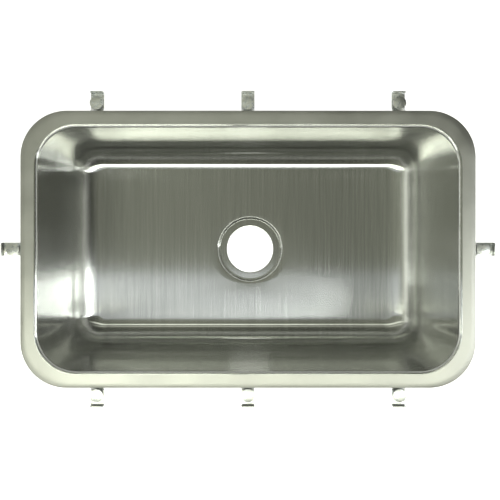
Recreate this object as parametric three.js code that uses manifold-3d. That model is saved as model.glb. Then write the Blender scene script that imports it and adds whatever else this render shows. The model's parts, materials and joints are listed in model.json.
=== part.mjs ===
// Undermount kitchen sink: one deep-drawn stainless bowl, its sound-deadening pads, and the clips
// that hold its flange up from below.
//
// Millimetres, +Z up. X runs along the sink, -Y is its front. The origin is the centre of the
// opening, on the flange's top face. That face lies in the mounting plane, to which the base plates
// of the studs are bonded too.

import * as THREE from 'three';
import { mergeVertices } from 'three/addons/utils/BufferGeometryUtils.js';
import Module from 'manifold-3d';

// ---- bowl ----
const OPENING_LENGTH = 640;        // between the end walls, at the rim
const OPENING_WIDTH = 370;         // between the front and back walls, at the rim
const BOWL_DEPTH = 229;            // from the flange's top to the floor's edge
const SHEET = 1.5;                 // thickness of the stainless sheet
const FLANGE_WIDTH = 25;           // from the wall's inner face to the flange's edge
const FLANGE_CORNER_RADIUS = 70;   // outline of the flange
const RIM_BEND_RADIUS = 5;         // bend between flange and wall, on the inner face
const RIM_CORNER_RADIUS = 59;      // upright corner of the bowl, at the rim
const FILLET_CORNER_RADIUS = 46;   // the same corner, where the bottom fillet starts
const FLOOR_CORNER_RADIUS = 16;    // outline of the floor, inside the bottom fillet
const WALL_DRAFT = 2;              // how far a wall leans in on its way down
const BOTTOM_FILLET = 38;          // radius between wall and floor, on the inner face
const FLOOR_FALL = 2;              // from the floor's edge down to the drain seat

// ---- drain ----
const DRAIN_X = 8;
const DRAIN_Y = -8;
const DRAIN_HOLE_RADIUS = 44.5;    // 3 1/2 inch outlet
const SEAT_RADIUS = 55;            // flat that carries the outlet's flange
const RECESS_RADIUS = 60;          // where the pressed recess leaves the floor
const RECESS_DEPTH = 6;
const RECESS_BEND = 1.5;           // bends at the top and the foot of the recess wall

// ---- sound-deadening pads ----
const PAD_THICKNESS = 3;
const PAD_GAP = 0.3;               // glue line between pad and bowl
const PAD_CORNER_RADIUS = 12;
const FLOOR_PAD_MARGIN = 12;       // from the floor's outline to the floor pads
const DRAIN_PAD_MARGIN = 14;       // from the drain recess to the floor pads
const WALL_PAD_HEIGHT = 110;
const WALL_PAD_TOP = 45;           // below the flange
const SIDE_PAD_LENGTH = 380;       // pads of the front and back walls
const END_PAD_LENGTH = 180;        // pads of the end walls

// ---- mounting clips ----
const STUD_EDGE_GAP = 2;           // between a stud's base plate and the flange's edge
const BASE_PLATE_RADIUS = 10;
const BASE_PLATE_THICKNESS = 2;
const WELD_SIZE = 1;               // weld between base plate and rod
const ROD_RADIUS = 3.175;          // 1/4 inch thread
const ROD_LENGTH = 35;             // from the mounting plane to the rod's end
const CLIP_WIDTH = 20;
const CLIP_THICKNESS = 2;
const CLIP_BEND_RADIUS = 2;        // on the strip's centre line
const CLIP_DROP = 8;               // from the mounting plane to the clip's plate
const CLIP_HOLE_RADIUS = 3.9;
const CLIP_GRIP = 12;              // how far the clip reaches under the flange
const CLIP_FOOT_REACH = 17;        // from the stud to the middle of the clip's foot
const CLIP_RAMP = 6;               // run of the step between the plate and the tip
const WASHER_RADIUS = 8;
const WASHER_THICKNESS = 1.6;
const RUNNING_GAP = 0.3;           // between the rod and what runs on it
const NUT_BASE_RADIUS = 6.6;
const NUT_CROWN_RADIUS = 5;
const NUT_HEIGHT = 8;
const WING_SPAN = 27.4;
const WING_HEIGHT = 13;
const WING_THICKNESS = 2.4;
const WING_OVERLAP = 0.3;          // how far a wing's root is buried in the nut's body
const WING_ROOT_EDGE = 1;          // from each end of the nut's body to the wing's root
const WING_SHOULDER = 9.8;         // from the axis to where both edges of a wing turn downwards
const WING_WAIST = 7.2;            // height at which a wing is at its widest
const WING_TIP_INSET = 2.2;        // how far the round tip leans back towards the axis
const OUTER_CLIP_SPACING = 230;    // from the middle clip to the ones beside it

// ---- smoothness ----
const CORNER_STEPS = 12;
const SIDE_STEPS = 4;
const FILLET_STEPS = 8;
const BEND_STEPS = 3;
const ROUND_STEPS = 16;

const wasm = await Module();
wasm.setup();

const QUARTER_TURN = Math.PI / 2;
const RING_STEPS = 4 * (CORNER_STEPS + SIDE_STEPS);

// The whole numbers from first to last.
function steps(first, last) {
  return Array.from({ length: last - first + 1 }, (_, i) => first + i);
}

// ---- solids ----

function toManifold(geometry) {
  const bare = geometry.index ? geometry.toNonIndexed() : geometry.clone();
  bare.deleteAttribute('normal');
  bare.deleteAttribute('uv');
  const merged = mergeVertices(bare, 1e-4);
  return new wasm.Manifold(new wasm.Mesh({
    numProp: 3,
    vertProperties: new Float32Array(merged.attributes.position.array),
    triVerts: new Uint32Array(merged.index.array),
  }));
}

function toGeometry(manifold) {
  const { vertProperties, triVerts, numProp } = manifold.getMesh();
  const positions = new Float32Array((vertProperties.length / numProp) * 3);
  for (let i = 0; i < positions.length / 3; i += 1) {
    positions.set(vertProperties.subarray(i * numProp, i * numProp + 3), i * 3);
  }
  const geometry = new THREE.BufferGeometry();
  geometry.setAttribute('position', new THREE.BufferAttribute(positions, 3));
  geometry.setIndex(new THREE.BufferAttribute(new Uint32Array(triVerts), 1));
  geometry.computeVertexNormals();
  return geometry;
}

// A solid of revolution about Z, from [radius, height] pairs.
function turned(profile) {
  const points = profile.map(([radius, height]) => new THREE.Vector2(radius, height));
  return new THREE.LatheGeometry(points, ROUND_STEPS).rotateX(QUARTER_TURN);
}

// ---- lofted rings ----

// One ring of a loft, anticlockwise from above: a rectangle with round corners. Every ring has the
// same number of points, so that ring after ring can be joined point to point.
function roundedRing(halfLength, halfWidth, radius, z) {
  const corners = [[1, 1], [-1, 1], [-1, -1], [1, -1]].map(([signX, signY], quarter) => {
    const centre = new THREE.Vector3(signX * (halfLength - radius), signY * (halfWidth - radius), z);
    return steps(0, CORNER_STEPS).map((step) => {
      const angle = (quarter + step / CORNER_STEPS) * QUARTER_TURN;
      return new THREE.Vector3(Math.cos(angle), Math.sin(angle), 0).multiplyScalar(radius).add(centre);
    });
  });
  return corners.flatMap((arc, quarter) => {
    const from = arc[CORNER_STEPS];
    const to = corners[(quarter + 1) % 4][0];
    const side = steps(1, SIDE_STEPS - 1).map((step) => from.clone().lerp(to, step / SIDE_STEPS));
    return [...arc, ...side];
  });
}

// A round ring about the drain, with its points spread evenly and matched to those of a roundedRing.
function drainRing(radius, z) {
  return steps(0, RING_STEPS - 1).map((i) => {
    const angle = QUARTER_TURN / 2 + ((i - CORNER_STEPS / 2) / RING_STEPS) * 4 * QUARTER_TURN;
    return new THREE.Vector3(DRAIN_X + radius * Math.cos(angle), DRAIN_Y + radius * Math.sin(angle), z);
  });
}

// Joins a list of rings into one closed skin. The last ring joins the first again when looped is
// true; otherwise both end rings are closed by a fan about their centre.
function loft(rings, looped) {
  const positions = rings.flat().flatMap((point) => point.toArray());
  const index = [];
  const bands = looped ? rings.length : rings.length - 1;
  for (let band = 0; band < bands; band += 1) {
    const here = band * RING_STEPS;
    const next = ((band + 1) % rings.length) * RING_STEPS;
    for (let i = 0; i < RING_STEPS; i += 1) {
      const j = (i + 1) % RING_STEPS;
      index.push(here + i, next + i, next + j);
      index.push(here + i, next + j, here + j);
    }
  }
  if (!looped) {
    closeEnd(positions, index, rings[0], 0, true);
    closeEnd(positions, index, rings[rings.length - 1], (rings.length - 1) * RING_STEPS, false);
  }
  const geometry = new THREE.BufferGeometry();
  geometry.setAttribute('position', new THREE.Float32BufferAttribute(positions, 3));
  geometry.setIndex(index);
  geometry.computeVertexNormals();
  return geometry;
}

function closeEnd(positions, index, ring, first, facesUp) {
  const centre = positions.length / 3;
  const middle = new THREE.Vector3();
  ring.forEach((point) => middle.addScaledVector(point, 1 / ring.length));
  positions.push(...middle.toArray());
  for (let i = 0; i < RING_STEPS; i += 1) {
    const j = (i + 1) % RING_STEPS;
    index.push(centre, first + (facesUp ? i : j), first + (facesUp ? j : i));
  }
}

// ---- bowl ----

// The bowl's section from the flange's edge to the drain, as stations on the inner face. lean is
// the angle of the sheet's outward normal below the horizontal: 0 on a wall, a quarter turn on the
// flange and the floor.
function wallStations() {
  const stations = [];
  const add = (inset, z, corner, lean) => stations.push({ inset, z, corner, lean });
  add(-FLANGE_WIDTH, 0, FLANGE_CORNER_RADIUS, QUARTER_TURN);
  for (let step = 0; step <= BEND_STEPS; step += 1) {
    const lean = QUARTER_TURN * (1 - step / BEND_STEPS);
    const inset = RIM_BEND_RADIUS * (Math.cos(lean) - 1);
    add(inset, RIM_BEND_RADIUS * (Math.sin(lean) - 1), RIM_CORNER_RADIUS - inset, lean);
  }
  const filletTop = BOTTOM_FILLET - BOWL_DEPTH;
  for (let step = 0; step <= FILLET_STEPS; step += 1) {
    const lean = (QUARTER_TURN * step) / FILLET_STEPS;
    const share = 1 - Math.cos(lean);
    const corner = THREE.MathUtils.lerp(FILLET_CORNER_RADIUS, FLOOR_CORNER_RADIUS, share);
    const z = filletTop - BOTTOM_FILLET * Math.sin(lean);
    add(WALL_DRAFT + BOTTOM_FILLET * share, z, corner, lean);
  }
  return stations;
}

function drainStations() {
  const rim = -BOWL_DEPTH - FLOOR_FALL;
  const seat = rim - RECESS_DEPTH;
  const slope = Math.atan2(RECESS_DEPTH, RECESS_RADIUS - SEAT_RADIUS);
  const lean = QUARTER_TURN - slope;
  const run = RECESS_BEND * Math.cos(slope);
  const drop = RECESS_BEND * Math.sin(slope);
  return [
    { radius: RECESS_RADIUS + RECESS_BEND, z: rim, lean: QUARTER_TURN },
    { radius: RECESS_RADIUS - run, z: rim - drop, lean },
    { radius: SEAT_RADIUS + run, z: seat + drop, lean },
    { radius: SEAT_RADIUS - RECESS_BEND, z: seat, lean: QUARTER_TURN },
    { radius: DRAIN_HOLE_RADIUS, z: seat, lean: QUARTER_TURN },
  ];
}

// The ring of a station, pushed out of the inner face by offset along the sheet's normal.
function stationRing(station, offset) {
  const out = offset * Math.cos(station.lean);
  const z = station.z - offset * Math.sin(station.lean);
  if (station.radius !== undefined) {
    return drainRing(station.radius + out, z);
  }
  const halfLength = OPENING_LENGTH / 2 - station.inset + out;
  const halfWidth = OPENING_WIDTH / 2 - station.inset + out;
  return roundedRing(halfLength, halfWidth, station.corner + out, z);
}

function bowlGeometry() {
  const stations = [...wallStations(), ...drainStations()];
  const inner = stations.map((station) => stationRing(station, 0));
  const outer = stations.map((station) => stationRing(station, SHEET));
  return loft([...inner.reverse(), ...outer], true);
}

// ---- pads ----

// All the space inside the bowl's outer face grown by offset, below the rim bend and without the
// drain recess. Pads are cut between two of these, so they follow the sheet.
function bowlEnvelope(offset) {
  const wall = wallStations().slice(1 + BEND_STEPS);
  const [recessEdge] = drainStations();
  const rings = [...wall, recessEdge].map((station) => stationRing(station, SHEET + offset));
  return toManifold(loft(rings, false));
}

// A prism with a pad's outline, drawn about its own XY plane and placed by a matrix. It is deep
// enough to pass through both envelopes wherever a pad lies.
function padPrism(length, width, placement) {
  const shape = new THREE.Shape();
  const x = length / 2;
  const y = width / 2;
  const r = PAD_CORNER_RADIUS;
  shape.moveTo(-x + r, -y);
  shape.absarc(x - r, -y + r, r, -QUARTER_TURN, 0);
  shape.absarc(x - r, y - r, r, 0, QUARTER_TURN);
  shape.absarc(-x + r, y - r, r, QUARTER_TURN, 2 * QUARTER_TURN);
  shape.absarc(-x + r, -y + r, r, 2 * QUARTER_TURN, 3 * QUARTER_TURN);
  const depth = 10 * PAD_THICKNESS;
  const settings = { depth, bevelEnabled: false, curveSegments: BEND_STEPS };
  const geometry = new THREE.ExtrudeGeometry(shape, settings).translate(0, 0, -depth / 2);
  return geometry.applyMatrix4(placement);
}

const innerEnvelope = bowlEnvelope(PAD_GAP);
const outerEnvelope = bowlEnvelope(PAD_GAP + PAD_THICKNESS);

function padGeometry(prism) {
  return toGeometry(toManifold(prism).intersect(outerEnvelope).subtract(innerEnvelope));
}

// A floor pad on one side of the drain; side is -1 for the left and 1 for the right.
function floorPad(side) {
  const inset = WALL_DRAFT + BOTTOM_FILLET + FLOOR_PAD_MARGIN;
  const outerX = OPENING_LENGTH / 2 - inset;
  const innerX = side * DRAIN_X + RECESS_RADIUS + DRAIN_PAD_MARGIN;
  const placement = new THREE.Matrix4().setPosition((side * (innerX + outerX)) / 2, 0, -BOWL_DEPTH);
  const width = OPENING_WIDTH - 2 * inset;
  return padGeometry(padPrism(outerX - innerX, width, placement));
}

// A wall pad, facing the way that turn says: 0 right, 1 back, 2 left, 3 front.
function wallPad(turn) {
  const acrossEnd = turn % 2 === 0;
  const length = acrossEnd ? END_PAD_LENGTH : SIDE_PAD_LENGTH;
  const reach = (acrossEnd ? OPENING_LENGTH : OPENING_WIDTH) / 2;
  const upright = new THREE.Matrix4().makeBasis(
    new THREE.Vector3(0, 1, 0),
    new THREE.Vector3(0, 0, 1),
    new THREE.Vector3(1, 0, 0),
  );
  const height = -WALL_PAD_TOP - WALL_PAD_HEIGHT / 2;
  const placement = new THREE.Matrix4().makeRotationZ(turn * QUARTER_TURN)
    .multiply(new THREE.Matrix4().setPosition(reach, 0, height))
    .multiply(upright);
  return padGeometry(padPrism(length, WALL_PAD_HEIGHT, placement));
}

// ---- clip set, about its stud's axis, with the flange towards -X ----

const flangeEdge = -(BASE_PLATE_RADIUS + STUD_EDGE_GAP);
const plateBottom = -(CLIP_DROP + CLIP_THICKNESS);
const washerBottom = plateBottom - WASHER_THICKNESS;
const bore = ROD_RADIUS + RUNNING_GAP;

function studGeometry() {
  return turned([
    [0, 0],
    [BASE_PLATE_RADIUS, 0],
    [BASE_PLATE_RADIUS, -BASE_PLATE_THICKNESS],
    [ROD_RADIUS + WELD_SIZE, -BASE_PLATE_THICKNESS],
    [ROD_RADIUS, -BASE_PLATE_THICKNESS - WELD_SIZE],
    [ROD_RADIUS, -ROD_LENGTH + WELD_SIZE],
    [ROD_RADIUS - WELD_SIZE, -ROD_LENGTH],
    [0, -ROD_LENGTH],
  ].reverse());
}

// The outline of a strip of even thickness that is bent along a path, with round bends.
function bentStrip(path, thickness, bendRadius) {
  const left = [];
  const right = [];
  const push = (point, direction) => {
    const normal = new THREE.Vector2(-direction.y, direction.x);
    left.push(point.clone().addScaledVector(normal, thickness / 2));
    right.push(point.clone().addScaledVector(normal, -thickness / 2));
  };
  const directions = path.slice(1).map((point, i) => point.clone().sub(path[i]).normalize());
  push(path[0], directions[0]);
  for (let i = 1; i < path.length - 1; i += 1) {
    const [before, after] = [directions[i - 1], directions[i]];
    const turn = Math.atan2(before.cross(after), before.dot(after));
    const sideways = new THREE.Vector2(-before.y, before.x).multiplyScalar(Math.sign(turn));
    const tangentLength = bendRadius * Math.tan(Math.abs(turn) / 2);
    const start = path[i].clone().addScaledVector(before, -tangentLength);
    const centre = start.clone().addScaledVector(sideways, bendRadius);
    for (let step = 0; step <= BEND_STEPS; step += 1) {
      const angle = (turn * step) / BEND_STEPS;
      const direction = before.clone().rotateAround(new THREE.Vector2(), angle);
      push(start.clone().rotateAround(centre, angle), direction);
    }
  }
  push(path[path.length - 1], directions[directions.length - 1]);
  return new THREE.Shape([...left, ...right.reverse()]);
}

function clipGeometry() {
  const half = CLIP_THICKNESS / 2;
  const plate = -CLIP_DROP - half;
  const tip = -SHEET - half;
  const rampTop = flangeEdge - half;
  const path = [
    new THREE.Vector2(CLIP_FOOT_REACH, 0),
    new THREE.Vector2(CLIP_FOOT_REACH, plate),
    new THREE.Vector2(rampTop + CLIP_RAMP, plate),
    new THREE.Vector2(rampTop, tip),
    new THREE.Vector2(flangeEdge - CLIP_GRIP, tip),
  ];
  const outline = bentStrip(path, CLIP_THICKNESS, CLIP_BEND_RADIUS);
  const strip = new THREE.ExtrudeGeometry(outline, { depth: CLIP_WIDTH, bevelEnabled: false });
  strip.translate(0, 0, -CLIP_WIDTH / 2).rotateX(QUARTER_TURN);
  const drill = new THREE.CylinderGeometry(CLIP_HOLE_RADIUS, CLIP_HOLE_RADIUS, 2 * ROD_LENGTH, ROUND_STEPS);
  return toGeometry(toManifold(strip).subtract(toManifold(drill.rotateX(QUARTER_TURN))));
}

function washerGeometry() {
  return turned([
    [bore, plateBottom],
    [bore, washerBottom],
    [WASHER_RADIUS, washerBottom],
    [WASHER_RADIUS, plateBottom],
    [bore, plateBottom],
  ]);
}

function wingNutGeometry() {
  const boss = toManifold(turned([
    [bore, washerBottom],
    [bore, washerBottom - NUT_HEIGHT],
    [NUT_CROWN_RADIUS, washerBottom - NUT_HEIGHT],
    [NUT_BASE_RADIUS, washerBottom - WASHER_THICKNESS],
    [NUT_BASE_RADIUS, washerBottom],
    [bore, washerBottom],
  ]));
  const wings = toManifold(wingBlade()).add(toManifold(wingBlade().rotateZ(Math.PI)));
  return toGeometry(boss.add(wings));
}

// One wing of the nut: an ear that leaves the boss and curves out and down to a round tip.
function wingBlade() {
  const root = NUT_CROWN_RADIUS - WING_OVERLAP;
  const tip = WING_SPAN / 2;
  const ear = new THREE.Shape();
  ear.moveTo(root, -WING_ROOT_EDGE);
  ear.quadraticCurveTo(WING_SHOULDER, -WING_ROOT_EDGE, tip, -WING_WAIST);
  ear.quadraticCurveTo(tip, -WING_HEIGHT, tip - WING_TIP_INSET, -WING_HEIGHT);
  ear.quadraticCurveTo(WING_SHOULDER, -WING_WAIST, root, WING_ROOT_EDGE - NUT_HEIGHT);
  const settings = { depth: WING_THICKNESS, bevelEnabled: false, curveSegments: BEND_STEPS };
  const blade = new THREE.ExtrudeGeometry(ear, settings);
  return blade.translate(0, 0, -WING_THICKNESS / 2).rotateX(QUARTER_TURN).translate(0, 0, washerBottom);
}

// ---- materials ----

const materials = {
  steel: new THREE.MeshStandardMaterial({ color: 0x9a9b92, roughness: 0.32, metalness: 1 }),
  rubber: new THREE.MeshStandardMaterial({ color: 0x2b2c2d, roughness: 0.9, metalness: 0 }),
  zinc: new THREE.MeshStandardMaterial({ color: 0xb4b6b3, roughness: 0.38, metalness: 1 }),
};

// ---- assembly ----

const sink = new THREE.Group();

function addPiece(parent, name, geometry, material) {
  const piece = new THREE.Mesh(geometry, material);
  piece.name = name;
  parent.add(piece);
}

addPiece(sink, 'bowl', bowlGeometry(), materials.steel);
addPiece(sink, 'pad_floor_left', floorPad(-1), materials.rubber);
addPiece(sink, 'pad_floor_right', floorPad(1), materials.rubber);
['right', 'back', 'left', 'front'].forEach((side, turn) => {
  addPiece(sink, `pad_${side}`, wallPad(turn), materials.rubber);
});

// Where each clip set stands: its name, its place along the edge, and the side that it faces.
const clipSets = [
  { name: 'right', along: 0, turn: 0 },
  { name: 'back_right', along: -OUTER_CLIP_SPACING, turn: 1 },
  { name: 'back_middle', along: 0, turn: 1 },
  { name: 'back_left', along: OUTER_CLIP_SPACING, turn: 1 },
  { name: 'left', along: 0, turn: 2 },
  { name: 'front_left', along: -OUTER_CLIP_SPACING, turn: 3 },
  { name: 'front_middle', along: 0, turn: 3 },
  { name: 'front_right', along: OUTER_CLIP_SPACING, turn: 3 },
];

for (const { name, along, turn } of clipSets) {
  const reach = (turn % 2 === 0 ? OPENING_LENGTH : OPENING_WIDTH) / 2 + FLANGE_WIDTH - flangeEdge;
  const set = new THREE.Group();
  set.position.set(reach, along, 0).applyAxisAngle(new THREE.Vector3(0, 0, 1), turn * QUARTER_TURN);
  set.rotation.z = turn * QUARTER_TURN;
  addPiece(set, `stud_${name}`, studGeometry(), materials.zinc);
  addPiece(set, `clip_${name}`, clipGeometry(), materials.zinc);
  addPiece(set, `washer_${name}`, washerGeometry(), materials.zinc);
  addPiece(set, `wing_nut_${name}`, wingNutGeometry(), materials.zinc);
  sink.add(set);
}

export default sink;
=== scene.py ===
# %% [markdown]
# # An undermount kitchen sink
#
# The sink is one bowl, pressed from a single sheet of stainless steel, with a flat flange round
# its top. Eight clips on threaded studs hold the flange up from below, and pads of rubber on the
# outside keep the bowl from ringing. The CAD model gives every place and size; this script gives
# each piece its finished shape and its surface.

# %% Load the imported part
import json
import math

import bmesh
import bpy
from mathutils import Matrix, Vector

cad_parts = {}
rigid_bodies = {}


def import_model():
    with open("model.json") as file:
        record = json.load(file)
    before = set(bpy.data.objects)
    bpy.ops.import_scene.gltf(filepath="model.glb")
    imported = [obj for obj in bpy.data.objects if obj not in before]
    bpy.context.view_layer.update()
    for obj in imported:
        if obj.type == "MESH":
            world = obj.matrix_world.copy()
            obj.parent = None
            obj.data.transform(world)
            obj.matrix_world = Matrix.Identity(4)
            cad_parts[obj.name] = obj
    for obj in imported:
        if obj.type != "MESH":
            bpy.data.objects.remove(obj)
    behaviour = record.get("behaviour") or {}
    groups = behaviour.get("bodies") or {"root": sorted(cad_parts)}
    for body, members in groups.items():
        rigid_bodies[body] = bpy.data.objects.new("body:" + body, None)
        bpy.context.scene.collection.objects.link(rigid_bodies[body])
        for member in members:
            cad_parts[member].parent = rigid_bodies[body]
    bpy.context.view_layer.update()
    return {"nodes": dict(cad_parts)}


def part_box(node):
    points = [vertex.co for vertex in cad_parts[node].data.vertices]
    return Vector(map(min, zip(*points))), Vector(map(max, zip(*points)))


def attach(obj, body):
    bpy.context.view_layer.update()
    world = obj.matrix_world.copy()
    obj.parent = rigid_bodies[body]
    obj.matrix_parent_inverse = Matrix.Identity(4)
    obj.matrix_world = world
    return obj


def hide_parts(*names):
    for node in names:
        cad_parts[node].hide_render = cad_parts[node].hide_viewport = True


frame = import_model()

MM = 0.001

# %% [markdown]
# ## The camera
#
# The sink is seen from straight above, from a height of less than a metre, so the walls show as
# narrow bands round the floor. A camera could be turned to aim at the sink's middle, but then the
# floor and the opening would no longer be parallel to the picture. So it looks straight down, and
# a small shift of the lens brings the sink back to the middle of the frame.

# %% Camera
camera_data = bpy.data.cameras.new("camera_above")
camera = bpy.data.objects.new("camera_above", camera_data)
bpy.context.scene.collection.objects.link(camera)
camera.location = (-15 * MM, 30 * MM, 865 * MM)
camera_data.sensor_width = 36
camera_data.lens = 41.1
camera_data.shift_x = 0.0238
camera_data.shift_y = -0.0411
bpy.context.scene.camera = camera
bpy.context.scene.view_settings.view_transform = "Standard"
print("The camera is", round(camera.location.z, 3), "m above the flange")

# %% [markdown]
# ## Small helpers
#
# Every piece below starts from a primitive and is shaped in edit mode. An operator acts on all
# that is selected, so the first helper clears the selection, and the others begin a piece,
# select in it and finish it in the same way each time.

# %% Helpers for modelling
SAME_PLACE = 0.001 * MM    # points closer than this are one point
SMOOTH_BELOW = math.radians(30)    # edges that turn by more than this stay sharp
BEVELLED_ABOVE = math.radians(60)    # the edges that a Bevel modifier rounds


def deselect_all():
    """Clears the selection, so that the next operator acts on nothing by mistake."""
    for item in bpy.context.view_layer.objects:
        item.select_set(False)


def begin_piece(add_primitive, **settings):
    """Adds a primitive, applies its place to its mesh, and opens it for editing, by its points."""
    deselect_all()
    add_primitive(**settings)
    bpy.ops.object.transform_apply(location=True, rotation=True, scale=True)
    bpy.ops.object.mode_set(mode="EDIT")
    bpy.ops.mesh.select_mode(type="VERT")
    return bpy.context.active_object


def edit_mesh():
    """The mesh under edit, for reading places and setting what is selected."""
    return bmesh.from_edit_mesh(bpy.context.active_object.data)


def select(kind, test):
    """Selects just the vertices, edges or faces that pass a test, and says how many."""
    bpy.ops.mesh.select_all(action="DESELECT")
    bpy.ops.mesh.select_mode(type={"verts": "VERT", "edges": "EDGE", "faces": "FACE"}[kind])
    mesh = edit_mesh()
    chosen = [item for item in getattr(mesh, kind) if test(item)]
    for item in chosen:
        item.select_set(True)
    mesh.select_flush_mode()
    bmesh.update_edit_mesh(bpy.context.active_object.data)
    return len(chosen)


def finish_piece(piece, name, body, node):
    """Names a finished piece, smooths it, and puts it in its node's place on its body."""
    piece.name = piece.data.name = name
    deselect_all()
    piece.select_set(True)
    bpy.context.view_layer.objects.active = piece
    bpy.ops.object.shade_smooth_by_angle(angle=SMOOTH_BELOW)
    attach(piece, body)
    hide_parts(node)
    print(name, "has", len(piece.data.polygons), "faces")


def apply_modifier(piece, kind, **settings):
    """Adds a modifier with its settings and applies it at once."""
    modifier = piece.modifiers.new(kind.title(), kind)
    for setting, value in settings.items():
        setattr(modifier, setting, value)
    bpy.context.view_layer.objects.active = piece
    bpy.ops.object.modifier_apply(modifier=modifier.name)


print("Each piece is shaded smooth where it turns by less than",
      round(math.degrees(SMOOTH_BELOW)), "degrees")

# %% [markdown]
# ## The bowl: rings down the section
#
# A press draws the bowl from a flat sheet, so its section changes smoothly all the way: a flat
# flange, a tight bend, nearly upright walls, a wide fillet, a floor that falls to the outlet, and
# a round recess. It could be made from a box with bevelled edges, but the radius of the upright
# corners shrinks on the way down, from 59 mm at the rim to 16 mm round the floor, and one bevel
# can't do that. So it is built like a loft: a closed ring at each height, then a skin between
# each ring and the next. An inset is how far a ring lies inside the opening at the rim, so the
# flange, which lies outside it, has negative ones. The recess has two small bends, one at the
# floor's edge and one at the seat.

# %% Sizes of the bowl
HALF_LENGTH, HALF_WIDTH = 320 * MM, 185 * MM
DEPTH = 229 * MM
SHEET = 1.5 * MM
FLANGE = 25 * MM
RIM_BEND = 5 * MM
FILLET = 42 * MM
DRAFT = 2 * MM
FLANGE_CORNER, RIM_CORNER, FOOT_CORNER, FLOOR_CORNER = 70 * MM, 59 * MM, 46 * MM, 16 * MM
FLOOR_FALL = 2 * MM
FLOOR_TILT, BLEND = math.radians(5), 14 * MM
OUTLET = Vector((8 * MM, -8 * MM))
OUTLET_RADIUS = 44.5 * MM
SEAT_RADIUS, RECESS_RADIUS = 58.5 * MM, 62 * MM
RECESS_DEPTH = 6 * MM
EDGE_BEND, EDGE_REACH = 1.2 * MM, 0.7 * MM
RIM_STEPS, FILLET_STEPS, BLEND_STEPS, EDGE_STEPS = 8, 24, 5, 4
QUARTER = math.pi / 2


def wall_rings():
    """(inset, height, corner radius) from the flange's edge down to the edge of the floor."""
    rings = [(-FLANGE, 0, FLANGE_CORNER), (-FLANGE + 8 * MM, 0, FLANGE_CORNER + 2 * MM),
             (-RIM_BEND - MM, 0, RIM_CORNER + RIM_BEND + MM)]
    for step in range(RIM_STEPS + 1):
        turn = QUARTER * step / RIM_STEPS
        inset = -RIM_BEND * (1 - math.sin(turn))
        rings.append((inset, -RIM_BEND * (1 - math.cos(turn)), RIM_CORNER - inset))
    for share in (0.02, 0.35, 0.7, 0.98):
        height = -RIM_BEND - share * (DEPTH - FILLET - RIM_BEND)
        rings.append((DRAFT * share, height, RIM_CORNER + share * (FOOT_CORNER - RIM_CORNER)))
    for step in range(FILLET_STEPS + 1):
        turn = (QUARTER - FLOOR_TILT) * step / FILLET_STEPS
        share = 1 - math.cos(turn)
        height = FILLET - DEPTH - FILLET * math.sin(turn)
        corner = FOOT_CORNER + share * (FLOOR_CORNER - FOOT_CORNER)
        rings.append((DRAFT + FILLET * share, height, corner))
    inset, height, corner = rings[-1]
    for step in range(BLEND_STEPS):
        tilt = FLOOR_TILT * (1 - (step + 0.5) / (BLEND_STEPS + 1))
        inset += BLEND / BLEND_STEPS
        height -= BLEND / BLEND_STEPS * math.tan(tilt)
        rings.append((inset, height, corner))
    return rings


def outlet_rings():
    """(radius, height) from the edge of the pressed recess to the edge of the hole."""
    rim = -DEPTH - FLOOR_FALL
    seat = rim - RECESS_DEPTH
    slope = math.atan2(RECESS_DEPTH, RECESS_RADIUS - SEAT_RADIUS)
    upper, lower = [], []
    for step in range(EDGE_STEPS + 1):
        turn = slope * step / EDGE_STEPS
        across, along = EDGE_BEND * math.sin(turn), EDGE_BEND * (1 - math.cos(turn))
        upper.append((RECESS_RADIUS + EDGE_REACH - across, rim - along))
        lower.insert(0, (SEAT_RADIUS - EDGE_REACH + across, seat + along))
    flat = [(SEAT_RADIUS - 3 * MM, seat), (OUTLET_RADIUS + 2 * MM, seat), (OUTLET_RADIUS, seat)]
    return upper + lower + flat


print(len(wall_rings()), "rings down the wall,", len(outlet_rings()), "round the outlet")

# %% [markdown]
# A ring of the wall is a flat plane of the ring's length and width. A bevel on its four vertices
# rounds the corners, its face is deleted, and its four sides, the only long edges, are cut so that
# every ring has the same number of points. A ring of the outlet is a plain circle with as many
# points. Two rings in one plane, as on the flange, are hard to bridge, so each ring is laid 1 mm
# lower than it belongs for every ring before it, and goes up to its true height once all are
# joined.

# %% Lay the rings
CORNER_POINTS, SIDE_CUTS, LONG_EDGE = 24, 15, 20 * MM
RING_POINTS = 4 * (CORNER_POINTS + 1 + SIDE_CUTS)


def number_new_points(number):
    """Writes a ring's number on the points that have none yet, so that they can be found again."""
    mesh = edit_mesh()
    layer = mesh.verts.layers.int.get("ring") or mesh.verts.layers.int.new("ring")
    for vertex in mesh.verts:
        vertex[layer] = vertex[layer] or number


def lay_wall_ring(number, inset, height, corner):
    """Lays a rounded rectangle, with its number on its points."""
    length, width = 2 * (HALF_LENGTH - inset), 2 * (HALF_WIDTH - inset)
    bpy.ops.mesh.select_all(action="DESELECT")
    laid_at = height - number * MM
    bpy.ops.mesh.primitive_plane_add(size=1, location=(0, 0, laid_at))
    bpy.ops.transform.resize(value=(length, width, 1), center_override=(0, 0, laid_at))
    bpy.ops.mesh.bevel(offset=corner, segments=CORNER_POINTS, affect="VERTICES")
    bpy.ops.mesh.delete(type="ONLY_FACE")
    number_new_points(number)
    layer = edit_mesh().verts.layers.int["ring"]
    select("edges", lambda e: e.verts[0][layer] == number and e.calc_length() > LONG_EDGE)
    bpy.ops.mesh.subdivide(number_cuts=SIDE_CUTS)
    number_new_points(number)


def lay_outlet_ring(number, radius, height):
    """Lays a circle round the outlet, with its number on its points."""
    bpy.ops.mesh.select_all(action="DESELECT")
    laid_at = height - number * MM
    bpy.ops.mesh.primitive_circle_add(vertices=RING_POINTS, radius=radius,
                                      location=(*OUTLET, laid_at))
    number_new_points(number)


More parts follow.
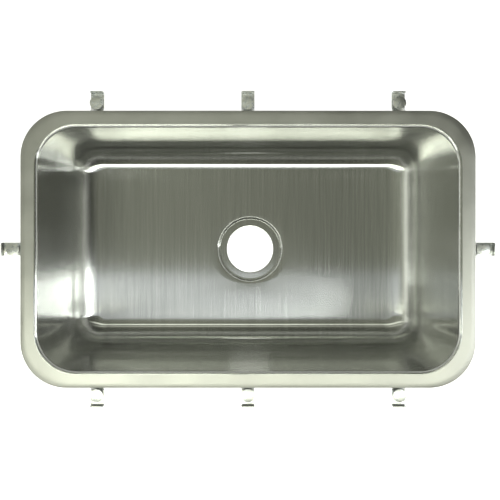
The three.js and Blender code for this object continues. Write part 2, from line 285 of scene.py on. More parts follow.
bowl = begin_piece(bpy.ops.mesh.primitive_plane_add, size=1)
bpy.ops.mesh.delete(type="VERT")
for number, ring in enumerate(wall_rings(), start=1):
    lay_wall_ring(number, *ring)
last_wall_ring = number
for number, ring in enumerate(outlet_rings(), start=last_wall_ring + 1):
    lay_outlet_ring(number, *ring)
last_ring = number
print(len(edit_mesh().verts), "points, which is", len(edit_mesh().verts) / RING_POINTS, "rings")

# %% [markdown]
# Each ring is now bridged to the next, and then every ring goes up to its true height. The bridge
# that makes the floor is cut many times, because the floor still has to take its shape.

# %% Join the rings into a sheet
FLOOR_CUTS = 14


def bridge(first, **settings):
    """Joins the open edges of a ring to those of the next."""
    layer = edit_mesh().verts.layers.int["ring"]
    select("edges", lambda e: len(e.link_faces) < 2 and e.verts[0][layer] == e.verts[1][layer]
           and e.verts[0][layer] in (first, first + 1))
    bpy.ops.mesh.bridge_edge_loops(**settings)


for first in range(1, last_ring):
    if first == last_wall_ring:
        bridge(first, number_cuts=FLOOR_CUTS, interpolation="LINEAR")
    else:
        bridge(first)
layer = edit_mesh().verts.layers.int["ring"]
for number in range(1, last_ring + 1):
    select("verts", lambda v: v[layer] == number)
    bpy.ops.transform.translate(value=(0, 0, number * MM))

# %% [markdown]
# The floor lies between the last ring of the wall and the first of the outlet. The points of its
# cuts carry the number of one of these two rings, but neither's height. They are now smoothed:
# like a cloth held at both edges, they settle into an even dish with no creases.

# %% Let the floor settle
floor_edge, outlet_edge = wall_rings()[-1][1], outlet_rings()[0][1]
on_floor = select("verts", lambda v: v[layer] in (last_wall_ring, last_wall_ring + 1)
                  and min(abs(v.co.z - floor_edge), abs(v.co.z - outlet_edge)) > SAME_PLACE)
bpy.ops.mesh.vertices_smooth(factor=0.6, repeat=400)
longest = max(edge.calc_length() for edge in edit_mesh().edges)
print(on_floor, "points of the floor have settled; the longest edge is",
      round(longest / MM, 1), "mm")

# %% [markdown]
# So far the sheet has no thickness. Its faces are first turned to look into the bowl. Solidify
# then gives it its thickness to the outside, so that the inner face stays where the rings are,
# and a fine bevel takes the sharpness off the flange's edge and the edge of the hole, as a
# deburring wheel does. Two empty material slots wait for the finishes: the first for the inside,
# and the second for the outside and the top of the flange.

# %% Give the sheet its thickness
DEBURRED = 0.3 * MM
FLANGE_TOP = -0.02 * MM    # faces above this are the flat top of the flange
bpy.ops.mesh.select_all(action="SELECT")
bpy.ops.mesh.normals_make_consistent(inside=False)
floor_face = min(edit_mesh().faces,
                 key=lambda f: abs(f.calc_center_median().z + DEPTH + FLOOR_FALL / 2))
if floor_face.normal.z < 0:
    bpy.ops.mesh.flip_normals()
bpy.ops.object.mode_set(mode="OBJECT")
bowl.data.attributes.remove(bowl.data.attributes["ring"])
bowl.data.materials.append(None)
bowl.data.materials.append(None)
apply_modifier(bowl, "SOLIDIFY", thickness=SHEET, offset=-1, use_even_offset=True,
               use_quality_normals=True, material_offset=1)
apply_modifier(bowl, "BEVEL", width=DEBURRED, segments=2, limit_method="ANGLE",
               angle_limit=BEVELLED_ABOVE)
for face in bowl.data.polygons:
    if face.center.z > FLANGE_TOP:
        face.material_index = 1
finish_piece(bowl, "drawn_bowl", "root", "bowl")

# %% [markdown]
# ## The sound-deadening pads
#
# A bare steel bowl rings under running water, so sheets of butyl rubber are stuck to its outside:
# one on each wall and one on each side of the outlet. A box with bevelled edges would lie flat,
# but the floor is dished and the walls lean in a little. So each pad starts as a flat outline
# next to the sheet, a Shrinkwrap modifier presses it on like a sticker, and Solidify makes it
# 3 mm thick.

# %% Press the pads on
PAD_THICKNESS, PAD_CORNER, PAD_EDGE, GLUE = 3 * MM, 12 * MM, 0.6 * MM, 0.3 * MM
STAND_OFF, CUT_SPACING = 10 * MM, 20 * MM


def press_pad(side, facing):
    """A pad with the outline of its CAD node's box, on the bowl's face that looks this way."""
    facing = Vector(facing)
    low, high = (Vector(corner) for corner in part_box("pad_" + side))
    outward = Vector([abs(share) for share in facing])
    middle = (low + high) / 2 + facing * STAND_OFF
    pad = begin_piece(bpy.ops.mesh.primitive_plane_add, size=1, location=middle,
                      rotation=facing.to_track_quat("Z", "Y").to_euler())
    bpy.ops.transform.resize(value=(high - low) * (Vector((1, 1, 1)) - outward) + outward,
                             center_override=middle)
    bpy.ops.mesh.bevel(offset=PAD_CORNER, segments=10, affect="VERTICES")
    for axis in range(3):
        cuts = 0 if outward[axis] else int((high - low)[axis] / CUT_SPACING)
        for cut in range(1, cuts + 1):
            place, normal = Vector(low), Vector((0, 0, 0))
            place[axis] += cut * (high - low)[axis] / (cuts + 1)
            normal[axis] = 1
            bpy.ops.mesh.select_all(action="SELECT")
            bpy.ops.mesh.bisect(plane_co=place, plane_no=normal)
    bpy.ops.object.mode_set(mode="OBJECT")
    apply_modifier(pad, "SHRINKWRAP", target=bowl, wrap_method="PROJECT",
                   use_negative_direction=True, use_project_x=bool(outward.x),
                   use_project_y=bool(outward.y), use_project_z=bool(outward.z),
                   wrap_mode="ABOVE_SURFACE", offset=GLUE)
    apply_modifier(pad, "SOLIDIFY", thickness=PAD_THICKNESS, offset=1)
    apply_modifier(pad, "BEVEL", width=PAD_EDGE, segments=3, angle_limit=BEVELLED_ABOVE)
    finish_piece(pad, "sound_pad_" + side, "root", "pad_" + side)
    return pad


FACINGS = {"right": (1, 0, 0), "back": (0, 1, 0), "left": (-1, 0, 0), "front": (0, -1, 0),
           "floor_left": (0, 0, -1), "floor_right": (0, 0, -1)}
pads = [press_pad(side, facing) for side, facing in FACINGS.items()]

# %% [markdown]
# ## Tracing and turning
#
# The studs, washers and wing nuts are round, so each is turned from half of its section. The
# section is traced as by hand: one point is extruded after another, and then the chain is spun
# once about the upright axis. A clip set is modelled once, about its own stud, and copied eight
# times.

# %% Helpers for traced and turned pieces
SPIN_STEPS = 64
DRILL_START = -5    # above every piece that is drilled, in mm


def trace(points, closed=True):
    """Begins a piece with a chain of edges through (distance from the axis, height), in mm.

    A closed chain also has an edge from its last point to its first."""
    corners = [Vector((across * MM, 0, height * MM)) for across, height in points]
    piece = begin_piece(bpy.ops.mesh.primitive_plane_add, size=MM, location=corners[0])
    bpy.ops.mesh.merge(type="CENTER")
    for here, there in zip(corners, corners[1:]):
        bpy.ops.mesh.extrude_vertices_move(TRANSFORM_OT_translate={"value": there - here})
    if closed:
        ends = (corners[0], corners[-1])
        select("verts", lambda v: min((v.co - end).length for end in ends) < SAME_PLACE)
        bpy.ops.mesh.edge_face_add()
    return piece


def close_skin():
    """Merges the doubles of a skin and sets its faces outward."""
    bpy.ops.mesh.select_all(action="SELECT")
    bpy.ops.mesh.remove_doubles(threshold=SAME_PLACE)
    bpy.ops.mesh.normals_make_consistent(inside=False)


def turned(points, closed=True):
    """A solid of revolution about the upright axis. An open section ends on the axis."""
    piece = trace(points, closed)
    bpy.ops.mesh.select_all(action="SELECT")
    bpy.ops.mesh.spin(steps=SPIN_STEPS, angle=2 * math.pi, center=(0, 0, 0), axis=(0, 0, 1))
    close_skin()
    bpy.ops.object.mode_set(mode="OBJECT")
    return piece


def combine(piece, operation, tool):
    """Joins or cuts a piece with a tool, which is then thrown away."""
    apply_modifier(piece, "BOOLEAN", operation=operation, object=tool, solver="EXACT")
    bpy.data.objects.remove(tool)


def drill(piece, radius, end):
    """Drills a hole about the upright axis, down to a height below the piece, in mm."""
    bit = turned([(0, DRILL_START), (radius, DRILL_START), (radius, end), (0, end)], closed=False)
    combine(piece, "DIFFERENCE", bit)


CLIP_SETS = [name.removeprefix("stud_") for name in frame["nodes"] if name.startswith("stud_")]
SIDES = ("right", "back", "left", "front")


def fit_to_studs(model, piece_name, body_name, node_name):
    """Puts a copy of the model, with its own mesh, at each stud, and throws the model away."""
    copies = []
    for clip_set in CLIP_SETS:
        low, high = (Vector(corner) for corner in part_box("stud_" + clip_set))
        place = (low + high) / 2
        turn = QUARTER * SIDES.index(clip_set.split("_")[0])
        copy = model.copy()
        copy.data = model.data.copy()
        move = Matrix.Translation((place.x, place.y, 0)) @ Matrix.Rotation(turn, 4, "Z")
        copy.data.transform(move)
        bpy.context.scene.collection.objects.link(copy)
        body = body_name if body_name == "root" else body_name + clip_set
        finish_piece(copy, piece_name + clip_set, body, node_name + clip_set)
        copies.append(copy)
    bpy.data.objects.remove(model)
    return copies


print("Clip sets:", CLIP_SETS)

# %% [markdown]
# ## The threaded studs
#
# A stud is a quarter-inch rod with 20 threads to the inch, welded to a round base plate. A
# picture of a thread would do from afar, but here the thread is cut for real: one tooth of the
# section is turned by a Screw modifier, and drops by its own height with every turn. Bisect then
# cuts both ends flat. It gets a fine threshold, because its own, 0.1 mm, would pull flanks on to
# the cut and leave the rod open. Sizes from here to the wing nuts are in mm.

# %% Cut the thread
ROD_RADIUS, ROD_END = 3.175, -35
PITCH, THREAD_DEPTH = 1.27, 0.72
FLANK = THREAD_DEPTH * math.tan(math.radians(30))
CREST = PITCH / 8
ROOT_RADIUS = ROD_RADIUS - THREAD_DEPTH
TURNS, TURN_STEPS = 29, 32
THREAD_TOP, THREAD_BOTTOM = -1.5, -36.5

tooth = [(ROOT_RADIUS, 0), (ROD_RADIUS, -FLANK), (ROD_RADIUS, -FLANK - CREST),
         (ROOT_RADIUS, -2 * FLANK - CREST), (ROOT_RADIUS, -PITCH)]
stud = trace(tooth, closed=False)
bpy.ops.object.mode_set(mode="OBJECT")
apply_modifier(stud, "SCREW", screw_offset=-PITCH * MM, iterations=TURNS, steps=TURN_STEPS,
               render_steps=TURN_STEPS)
bpy.ops.object.mode_set(mode="EDIT")
close_skin()
for height, side in ((THREAD_TOP, -1), (THREAD_BOTTOM, 1)):
    bpy.ops.mesh.select_all(action="SELECT")
    bpy.ops.mesh.bisect(plane_co=(0, 0, height * MM), plane_no=(0, 0, side), use_fill=True,
                        clear_inner=True, threshold=SAME_PLACE / 10)
close_skin()
bpy.ops.object.mode_set(mode="OBJECT")
print("The thread has", len(stud.data.polygons), "faces in", TURNS, "turns")

# %% [markdown]
# A blank with a chamfered end trims the rod, as a bar is chamfered before its thread is rolled,
# and a plate with a ring of weld is joined to its top. Where the flanks run out into the weld,
# the union leaves a few doubles and slivers. So the skin is closed once more, and its many-sided
# faces are divided.

# %% Trim the studs and give them their plates
TRIM_TOP, TRIM_PLAY, CHAMFER = -1, 0.1, 0.9
PLATE_RADIUS, PLATE_BOTTOM, WELD_BOTTOM = 10, -2, -3

blank = turned([(0, TRIM_TOP), (ROD_RADIUS + TRIM_PLAY, TRIM_TOP),
                (ROD_RADIUS + TRIM_PLAY, ROD_END + CHAMFER),
                (ROOT_RADIUS - TRIM_PLAY, ROD_END), (0, ROD_END)], closed=False)
combine(stud, "INTERSECT", blank)
plate = turned([(0, 0), (PLATE_RADIUS, 0), (PLATE_RADIUS, PLATE_BOTTOM),
                (ROD_RADIUS + 1, PLATE_BOTTOM), (ROD_RADIUS + 0.3, PLATE_BOTTOM - 0.3),
                (ROD_RADIUS, WELD_BOTTOM), (0, WELD_BOTTOM)], closed=False)
apply_modifier(plate, "BEVEL", width=0.3 * MM, segments=3, angle_limit=BEVELLED_ABOVE)
combine(stud, "UNION", plate)
bpy.ops.object.mode_set(mode="EDIT")
close_skin()
select("faces", lambda f: len(f.verts) > 4)
bpy.ops.mesh.quads_convert_to_tris(ngon_method="BEAUTY")
open_edges = sum(len(edge.link_faces) != 2 for edge in edit_mesh().edges)
bpy.ops.object.mode_set(mode="OBJECT")
print("A stud has", open_edges, "open edges")
studs = fit_to_studs(stud, "threaded_stud_", "root", "stud_")

# %% [markdown]
# ## The clips
#
# A clip is a strip of 2 mm steel, bent in a press: one end stands on the mounting plane as a
# foot, the middle is drilled for the stud, and the other end goes up a ramp and presses on the
# flange as a tongue. Its centre line is traced from the side and drawn out to the strip's width,
# each bend is rounded by a bevel, and Solidify gives it its thickness.

# %% Clips
CLIP_WIDTH, CLIP_THICKNESS, CLIP_HOLE = 20, 2, 3.9
CLIP_BEND, CLIP_CORNER, CLIP_EDGE = 2, 2.5, 0.25
FOOT, RAMP_START, RAMP_END, TIP = 17, -7, -13, -24    # distances from the stud
MIDDLE, TONGUE = -9, -2.5    # heights of the centre line
NEAR = 0.1    # points this near to a bend or an end are on it
RAMP_TURN = math.atan2(TONGUE - MIDDLE, RAMP_START - RAMP_END)

path = [(FOOT, 0), (FOOT, MIDDLE), (RAMP_START, MIDDLE), (RAMP_END, TONGUE), (TIP, TONGUE)]
clip = trace(path, closed=False)
bpy.ops.mesh.select_all(action="SELECT")
bpy.ops.transform.translate(value=(0, -CLIP_WIDTH / 2 * MM, 0))
bpy.ops.mesh.extrude_edges_move(TRANSFORM_OT_translate={"value": (0, CLIP_WIDTH * MM, 0)})
for (across, height), turn in ((path[1], QUARTER), (path[2], RAMP_TURN), (path[3], RAMP_TURN)):
    bend = Vector((across * MM, 0, height * MM))
    select("edges", lambda e: ((e.verts[0].co + e.verts[1].co) / 2 - bend).length < NEAR * MM)
    bpy.ops.mesh.bevel(offset=CLIP_BEND * math.tan(turn / 2) * MM, segments=8, affect="EDGES")
select("verts", lambda v: v.co.x < (TIP + NEAR) * MM or v.co.z > -NEAR * MM)
bpy.ops.mesh.bevel(offset=CLIP_CORNER * MM, segments=6, affect="VERTICES")
bpy.ops.mesh.select_all(action="SELECT")
bpy.ops.mesh.normals_make_consistent(inside=False)
bpy.ops.object.mode_set(mode="OBJECT")
apply_modifier(clip, "SOLIDIFY", thickness=CLIP_THICKNESS * MM, offset=0, use_even_offset=True)
drill(clip, CLIP_HOLE, end=-15)
apply_modifier(clip, "BEVEL", width=CLIP_EDGE * MM, segments=2, angle_limit=BEVELLED_ABOVE)
clips = fit_to_studs(clip, "bent_clip_", "clip_body_", "clip_")

# %% [markdown]
# ## The washers
#
# A washer is punched from strip, which leaves its edges slightly round. It is turned from a
# rectangle, and a fine bevel rounds the edges. It lies 0.02 mm under the clip, so that the two
# don't graze each other when the clip swings.

# %% Washers
BORE = ROD_RADIUS + 0.3
WASHER_RADIUS, WASHER_TOP, WASHER_BOTTOM, WASHER_EDGE = 8, -10.02, -11.6, 0.25

washer = turned([(BORE, WASHER_TOP), (BORE, WASHER_BOTTOM),
                 (WASHER_RADIUS, WASHER_BOTTOM), (WASHER_RADIUS, WASHER_TOP)])
apply_modifier(washer, "BEVEL", width=WASHER_EDGE * MM, segments=3, angle_limit=BEVELLED_ABOVE)
washers = fit_to_studs(washer, "flat_washer_", "carrier_", "washer_")

# %% [markdown]
# ## The wing nuts
#
# A wing nut is die-cast, so its ears flow into its body with no edge between them. Bevels can't
# make such a joint. The body is turned. The outline of one ear is traced from its root, round its
# tip and back, and it is given its thickness and copied to the other side. A voxel remesh then
# fuses them into one skin, which a Smooth modifier softens as the mould does. The bore is drilled
# last, and stays sharp.

# %% Wing nuts
NUT_HEIGHT, NUT_FLANGE, NUT_FLANGE_RADIUS, NUT_TIP_RADIUS = 8, 1.8, 6.6, 5
EAR_THICKNESS, EAR_CORNER, VOXEL = 2.5, 1.3, 0.4
EAR_ROOT = 4    # distance from the axis, inside the body
NUT_END = WASHER_BOTTOM - NUT_HEIGHT

wing_nut = turned([(0, WASHER_BOTTOM), (NUT_FLANGE_RADIUS, WASHER_BOTTOM),
                   (NUT_FLANGE_RADIUS, WASHER_BOTTOM - NUT_FLANGE),
                   (NUT_TIP_RADIUS, NUT_END), (0, NUT_END)], closed=False)
ear = trace([(EAR_ROOT, -12.9), (9.3, -13.3), (12.2, -15.8), (13.7, -18.6), (13.7, -24.6),
             (10.9, -24.6), (9.4, -21.4), (7.4, -19), (EAR_ROOT, -18.4)])
bpy.ops.mesh.select_all(action="SELECT")
bpy.ops.mesh.edge_face_add()
select("verts", lambda v: v.co.x > (EAR_ROOT + 1) * MM)
bpy.ops.mesh.bevel(offset=EAR_CORNER * MM, segments=4, affect="VERTICES", clamp_overlap=True)
bpy.ops.mesh.select_all(action="SELECT")
bpy.ops.transform.translate(value=(0, -EAR_THICKNESS / 2 * MM, 0))
bpy.ops.mesh.extrude_region_move(TRANSFORM_OT_translate={"value": (0, EAR_THICKNESS * MM, 0)})
bpy.ops.mesh.select_all(action="SELECT")
bpy.ops.mesh.duplicate()
bpy.ops.transform.rotate(value=math.pi, orient_axis="Z", center_override=(0, 0, 0))
close_skin()
bpy.ops.object.mode_set(mode="OBJECT")
deselect_all()
ear.select_set(True)
wing_nut.select_set(True)
bpy.context.view_layer.objects.active = wing_nut
bpy.ops.object.join()
apply_modifier(wing_nut, "REMESH", mode="VOXEL", voxel_size=VOXEL * MM, use_smooth_shade=True)
apply_modifier(wing_nut, "SMOOTH", factor=0.5, iterations=5)
drill(wing_nut, BORE, end=-30)
wing_nuts = fit_to_studs(wing_nut, "wing_nut_cast_", "nut_body_", "wing_nut_")

# %% [markdown]
# ## Materials
#
# A material is a tree of nodes. One small function adds a node, sets its options and fills its
# inputs, either with a value or with the output that feeds it. Colours are written as the hex
# values that a picture shows, and another function turns them into the linear values of light. A
# Mix node has a pair of inputs for each kind of value, all with the names A and B, so they are
# told apart by number: 2 and 3 take numbers, 4 and 5 take vectors, and 6 and 7 take colours.

# %% Helpers for materials
def linear(hex_colour):
    """An sRGB colour such as "c8c6bd" as linear red, green and blue, with alpha 1."""
    shares = [int(hex_colour[i:i + 2], 16) / 255 for i in (0, 2, 4)]
    return (*[s / 12.92 if s <= 0.04045 else ((s + 0.055) / 1.055) ** 2.4 for s in shares], 1)


def add_node(tree, kind, options=None, inputs=None):
    """Adds a node, sets its options, and gives each named input a value or a link."""
    node = tree.nodes.new("ShaderNode" + kind)
    for option, value in (options or {}).items():
        setattr(node, option, value)
    for socket, value in (inputs or {}).items():
        if isinstance(value, bpy.types.NodeSocket):
            tree.links.new(value, node.inputs[socket])
        else:
            node.inputs[socket].default_value = value
    return node


def begin_material(name):
    """An empty material, its tree, and the object's own coordinates to draw patterns on."""
    material = bpy.data.materials.new(name)
    material.use_nodes = True
    tree = material.node_tree
    tree.nodes.clear()
    place = add_node(tree, "TexCoord").outputs["Object"]
    return material, tree, place


# %% [markdown]
# ## Brushed stainless steel
#
# The inside is brushed with an abrasive belt, which leaves fine scratches along its path. On the
# floor and its fillet the belt ran from front to back, and on the walls it ran level, all the way
# round. Such a surface reflects sharply along the scratches and smears the light across them.
# Streaks of paint would look right from one side only, so the shader's anisotropic reflection does
# it: its tangent is the direction of the smear. That is the X axis on the floor, leaning with the
# end fillets, and upright on the walls. The change at the foot of the walls is abrupt, as where
# two passes of a belt meet.

# %% The direction of the brushing
WALL_FOOT, BELT_OVERLAP = -192 * MM, 5 * MM
FILLET_LEAN = -0.3


def brushing_direction(tree, place):
    """The tangent, and the share of the level scratches, for the bowl's inside."""
    facing = add_node(tree, "NewGeometry").outputs["Normal"]
    facing_x = add_node(tree, "SeparateXYZ", inputs={"Vector": facing}).outputs["X"]
    spot = add_node(tree, "SeparateXYZ", inputs={"Vector": place}).outputs
    on_wall = add_node(tree, "MapRange", {"interpolation_type": "SMOOTHSTEP"}, {
        "Value": spot["Z"], "From Min": WALL_FOOT - BELT_OVERLAP,
        "From Max": WALL_FOOT}).outputs["Result"]
    lean = add_node(tree, "Math", {"operation": "MULTIPLY"}, {
        0: facing_x, 1: FILLET_LEAN}).outputs[0]
    floor_tangent = add_node(tree, "CombineXYZ", inputs={"X": 1.0, "Z": lean}).outputs[0]
    side = add_node(tree, "Math", {"operation": "SIGN"}, {0: spot["X"]}).outputs[0]
    wall_tangent = add_node(tree, "CombineXYZ", inputs={"Z": side}).outputs[0]
    tangent = add_node(tree, "Mix", {"data_type": "VECTOR"}, {
        "Factor": on_wall, 4: floor_tangent, 5: wall_tangent}).outputs[1]
    steepness = add_node(tree, "Math", {"operation": "ABSOLUTE"}, {0: facing_x}).outputs[0]
    on_steep = add_node(tree, "MapRange", {"interpolation_type": "SMOOTHSTEP"}, {
        "Value": steepness, "From Min": 0.7, "From Max": 0.9}).outputs["Result"]
    level = add_node(tree, "Math", {"operation": "MAXIMUM"}, {0: on_steep, 1: on_wall}).outputs[0]
    return tangent, level


print("The walls are brushed level above", round(WALL_FOOT / MM), "mm")

# %% [markdown]
# The scratches themselves are noise that is squeezed across them and drawn out along them. They
# move the colour, the roughness and the relief a little, so that the floor shows fine streaks
# even where the light is even. Real scratches are 0.1 mm apart. These are drawn a little over
# 2 mm apart, so that they show. Stainless steel is a slightly warm grey metal.

# %% Brushed stainless steel
ACROSS, ALONG = 450, 6    # scratches per metre, and their breaks per metre


def brushed_stainless():
    """The bowl's inside, with scratches from front to back on the floor and level on the walls."""
    material, tree, place = begin_material("brushed_stainless_steel")
    tangent, level = brushing_direction(tree, place)
    scratches = []
    for squeeze in ((ACROSS, ALONG, ALONG), (ALONG, ALONG, ACROSS)):
        across = add_node(tree, "Mapping", inputs={
            "Vector": place, "Scale": squeeze}).outputs["Vector"]
        noise = add_node(tree, "TexNoise", inputs={
            "Vector": across, "Scale": 1.0, "Detail": 4.0, "Roughness": 0.6})
        scratches.append(noise.outputs["Fac"])
    depth = add_node(tree, "Mix", {"data_type": "FLOAT"}, {
        "Factor": level, 2: scratches[0], 3: scratches[1]}).outputs["Result"]
    tint = add_node(tree, "MapRange", inputs={
        "Value": depth, "From Min": 0.3, "From Max": 0.7}).outputs["Result"]
    roughness = add_node(tree, "MapRange", inputs={
        "Value": tint, "To Min": 0.185, "To Max": 0.225}).outputs["Result"]
    colour = add_node(tree, "Mix", {"data_type": "RGBA"}, {
        "Factor": tint, 6: linear("c1c2be"), 7: linear("d1d2ce")}).outputs[2]
    relief = add_node(tree, "Bump", inputs={
        "Strength": 0.03, "Distance": 0.2 * MM, "Height": depth})
    shader = add_node(tree, "BsdfPrincipled", inputs={
        "Base Color": colour, "Metallic": 1.0, "Roughness": roughness, "Anisotropic": 1.0,
        "Tangent": tangent, "Normal": relief.outputs["Normal"]})
    add_node(tree, "OutputMaterial", inputs={"Surface": shader.outputs["BSDF"]})
    return material


# %% [markdown]
# ## Mill finish, rubber and zinc
#
# The outside of the bowl and its flange are never polished. They keep the dull mill finish of the
# cold-rolled sheet, with cloudy patches, and faint upright lines where the sheet slid over the
# die. The pads are matt black butyl rubber with a fine calendered grain. The steel of the clip
# sets is zinc-plated in a barrel, which leaves a soft shine with cloudy, slightly blue or yellow
# patches, and the die-cast wing nuts are greyer and rougher. Each could have a tree of its own,
# but they differ only in sizes and colours, so one short tree serves all: noise at two real
# scales moves the colour, the roughness and the relief a little.

# %% Helper for a cloudy finish
def cloudy(name, metallic, colours, roughness, patch, grain, relief, stretch=(1, 1, 1)):
    """A finish that varies in patches and has a fine grain, with both sizes in mm.

    Colours and roughness are pairs, between which the patches move. Relief is the grain's depth
    in mm. A stretch below 1 draws the pattern out along its axis."""
    material, tree, place = begin_material(name)
    stretched = add_node(tree, "Mapping", inputs={
        "Vector": place, "Scale": stretch}).outputs["Vector"]
    clouds = add_node(tree, "TexNoise", inputs={
        "Vector": stretched, "Scale": 1 / (patch * MM),
        "Detail": 3.0, "Roughness": 0.55}).outputs["Fac"]
    grains = add_node(tree, "TexNoise", inputs={
        "Vector": stretched, "Scale": 1 / (grain * MM),
        "Detail": 2.0, "Roughness": 0.5}).outputs["Fac"]
    both = add_node(tree, "Mix", {"data_type": "FLOAT"}, {
        "Factor": 0.35, 2: clouds, 3: grains}).outputs["Result"]
    share = add_node(tree, "MapRange", inputs={
        "Value": both, "From Min": 0.35, "From Max": 0.65}).outputs["Result"]
    colour = add_node(tree, "Mix", {"data_type": "RGBA"},
                      {"Factor": share, 6: linear(colours[0]), 7: linear(colours[1])}).outputs[2]
    shine = add_node(tree, "MapRange", inputs={
        "Value": share, "To Min": roughness[0], "To Max": roughness[1]}).outputs["Result"]
    height = add_node(tree, "Bump", inputs={
        "Strength": 0.5, "Distance": relief * MM, "Height": grains})
    shader = add_node(tree, "BsdfPrincipled", inputs={
        "Base Color": colour, "Metallic": metallic, "Roughness": shine,
        "Normal": height.outputs["Normal"]})
    add_node(tree, "OutputMaterial", inputs={"Surface": shader.outputs["BSDF"]})
    return material


# %% [markdown]
# ## Give every piece its finish
#
# The bowl has two faces of its sheet in two finishes, so it has two material slots. Every other
# piece has one. The colours and the roughness start from what such metals and rubbers measure.

# %% Give every piece its finish
mill = cloudy("mill_finish_stainless_steel", 1.0, ("a3a39d", "b7b7b1"), (0.36, 0.5),
              patch=60, grain=1.2, relief=0.02, stretch=(1, 1, 0.12))
rubber = cloudy("calendered_butyl_rubber", 0.0, ("222324", "323334"), (0.68, 0.86),
                patch=25, grain=0.9, relief=0.25)
plated = cloudy("barrel_plated_zinc", 1.0, ("b4b9bd", "cfcec4"), (0.24, 0.4),
                patch=5, grain=0.5, relief=0.03)
cast = cloudy("die_cast_zinc", 1.0, ("a2a5a7", "b9bab8"), (0.36, 0.52),
              patch=4, grain=0.6, relief=0.09)
bowl.data.materials[0] = brushed_stainless()
bowl.data.materials[1] = mill
for pieces, finish in ((pads, rubber), (studs + clips + washers, plated), (wing_nuts, cast)):
    for piece in pieces:
        piece.data.materials.clear()
        piece.data.materials.append(finish)
print(len(bpy.data.materials), "materials in all")

# %% [markdown]
# ## Floor and backdrop
#
# The sink stands on a wide white floor, with a white backdrop all the way round. Light strong
# enough to make them white would also burn out the steel, so they glow a little by themselves. The
# glow is only for rays that come from the camera, from metal or through glass, so it lights
# nothing, and the floor keeps the sink's shadow. Higher up, the backdrop's glow fades, which is
# painted shade, like paper that gets darker above the lamps.

# %% Floor and backdrop
FLOOR_HEIGHT, FLOOR_SIZE = -240 * MM, 32
BACKDROP_RADIUS, BACKDROP_HEIGHT = 15, 8
FADE_START, FADE_END = 3.5, 7.5    # heights on the backdrop, in metres
GLOW, FADED_GLOW = 0.85, 0.4    # a glow of 1 is white by itself

deselect_all()
bpy.ops.mesh.primitive_plane_add(size=FLOOR_SIZE, location=(0, 0, FLOOR_HEIGHT))
ground = bpy.context.active_object
ground.name = "studio_floor"
bpy.ops.mesh.primitive_cylinder_add(
    vertices=96, radius=BACKDROP_RADIUS, depth=BACKDROP_HEIGHT, end_fill_type="NOTHING",
    location=(0, 0, FLOOR_HEIGHT + BACKDROP_HEIGHT / 2))
bpy.ops.object.transform_apply(location=True, rotation=True, scale=True)
backdrop = bpy.context.active_object
backdrop.name = "studio_backdrop"

material, tree, place = begin_material("white_studio_paper")
ray = add_node(tree, "LightPath").outputs
seen = add_node(tree, "Math", {"operation": "MAXIMUM"}, {
    0: ray["Is Camera Ray"], 1: ray["Is Glossy Ray"]}).outputs[0]
seen = add_node(tree, "Math", {"operation": "MAXIMUM"}, {
    0: seen, 1: ray["Is Transmission Ray"]}).outputs[0]
height = add_node(tree, "SeparateXYZ", inputs={"Vector": place}).outputs["Z"]
# painted shade: the glow drops from GLOW to FADED_GLOW higher up the backdrop
fade = add_node(tree, "MapRange", {"interpolation_type": "SMOOTHSTEP"}, {
    "Value": height, "From Min": FADE_START, "From Max": FADE_END,
    "To Min": GLOW, "To Max": FADED_GLOW}).outputs["Result"]
strength = add_node(tree, "Math", {"operation": "MULTIPLY"}, {0: seen, 1: fade}).outputs[0]
glow = add_node(tree, "Emission", inputs={"Color": (1, 1, 1, 1), "Strength": strength}).outputs[0]
paint = add_node(tree, "BsdfDiffuse", inputs={"Color": linear("f0f0f0")}).outputs[0]
both = add_node(tree, "AddShader", inputs={0: paint, 1: glow}).outputs[0]
add_node(tree, "OutputMaterial", inputs={"Surface": both})
for surface in (ground, backdrop):
    surface.data.materials.append(material)
print("The backdrop stands", BACKDROP_RADIUS, "m away, all round")

# %% [markdown]
# ## Lamps
#
# Polished metal has little colour of its own: it shows what is round it. So the lamps are placed
# by following the reflections. Seen from above, a lamp in front of the sink lands as a white line
# on the back fillet and as a pale band on the near part of the floor, and a lamp to the right
# lands on the left wall. All are flat panels in one plane above the sink, pointing down. A broad
# weak panel under a smaller one gives the pale band its soft edge.

# %% Lamps
LAMP_HEIGHT = 1.27
WHITE_PANEL = 4    # watts per square metre of a panel that looks white in a mirror
LAMPS = (
    # name, two corners in metres, brightness, colour
    ("softbox_front", (-0.8, -0.33), (0.46, -0.165), 0.45, "ebf1ff"),
    ("softbox_front_core", (-0.75, -0.33), (0.32, -0.19), 0.9, "ebf1ff"),
    ("strip_front_left", (-1.05, -0.72), (-0.04, -0.38), 5.5, "fbfff0"),
    ("strip_front_right", (0.02, -0.72), (1.1, -0.38), 4.0, "fbfff0"),
    ("softbox_right", (0.95, -0.42), (2.4, -0.24), 12.0, "fbfffd"),
    ("softbox_left", (-3.4, -0.8), (-2.2, 0.8), 1.7, "fbfff2"),
    ("strip_back", (-1.0, 0.36), (0.6, 0.46), 1.6, "fbfff2"),
    ("strip_far_back", (-1.2, 0.66), (0.4, 0.78), 0.6, "fbfff2"),
)


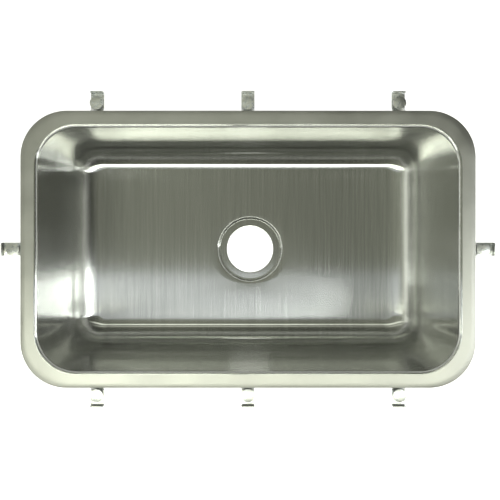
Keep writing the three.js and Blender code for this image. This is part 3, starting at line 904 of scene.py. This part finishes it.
def hang_lamp(name, low, high, brightness, hex_colour):
    """A flat panel between two corners that shines down, and that no camera sees."""
    data = bpy.data.lights.new(name, "AREA")
    data.shape = "RECTANGLE"
    data.size, data.size_y = high[0] - low[0], high[1] - low[1]
    data.energy = brightness * WHITE_PANEL * data.size * data.size_y
    data.color = linear(hex_colour)[:3]
    lamp = bpy.data.objects.new(name, data)
    lamp.location = ((low[0] + high[0]) / 2, (low[1] + high[1]) / 2, LAMP_HEIGHT)
    lamp.visible_camera = False
    bpy.context.scene.collection.objects.link(lamp)


for lamp in LAMPS:
    hang_lamp(*lamp)
print(len(LAMPS), "lamps hang", LAMP_HEIGHT, "m above the flange")

# %% [markdown]
# ## The air above
#
# Between the lamps the steel shows the ceiling of the studio, a dim warm grey. It is the world's
# background. A direction has an X of -1 to the left and 1 to the right, and a Y of -1 to the front
# and 1 to the back. The ceiling gets darker to the right and towards the front and the back,
# because that keeps the walls of the sink darker than its floor.

# %% World
CEILING_LEFT, CEILING_RIGHT = 0.33, 0.17


def fade_world(tree, value, start, end, before, after):
    """A smooth change from one factor to another while a value goes from start to end."""
    return add_node(tree, "MapRange", {"interpolation_type": "SMOOTHSTEP"}, {
        "Value": value, "From Min": start, "From Max": end,
        "To Min": before, "To Max": after}).outputs["Result"]


world = bpy.data.worlds.new("studio_air")
bpy.context.scene.world = world
world.use_nodes = True
tree = world.node_tree
tree.nodes.clear()
direction = add_node(tree, "TexCoord").outputs["Generated"]
direction = add_node(tree, "SeparateXYZ", inputs={"Vector": direction}).outputs
aside = add_node(tree, "Math", {"operation": "ABSOLUTE"}, {0: direction["Y"]}).outputs[0]
ceiling = fade_world(tree, direction["X"], -0.05, 0.2, CEILING_LEFT, CEILING_RIGHT)
far_right = fade_world(tree, direction["X"], 0.25, 0.5, 1.0, 0.35)
kept_aside = fade_world(tree, direction["X"], -0.05, 0.1, 0.6, 0.3)
far_aside = fade_world(tree, aside, 0.4, 0.7, 1.0, kept_aside)
for share in (far_right, far_aside):
    ceiling = add_node(tree, "Math", {"operation": "MULTIPLY"}, {0: ceiling, 1: share}).outputs[0]
background = add_node(tree, "Background", inputs={
    "Color": linear("fbffe9"), "Strength": ceiling}).outputs[0]
add_node(tree, "OutputWorld", inputs={"Surface": background})
print("The ceiling has", len(tree.nodes), "nodes")
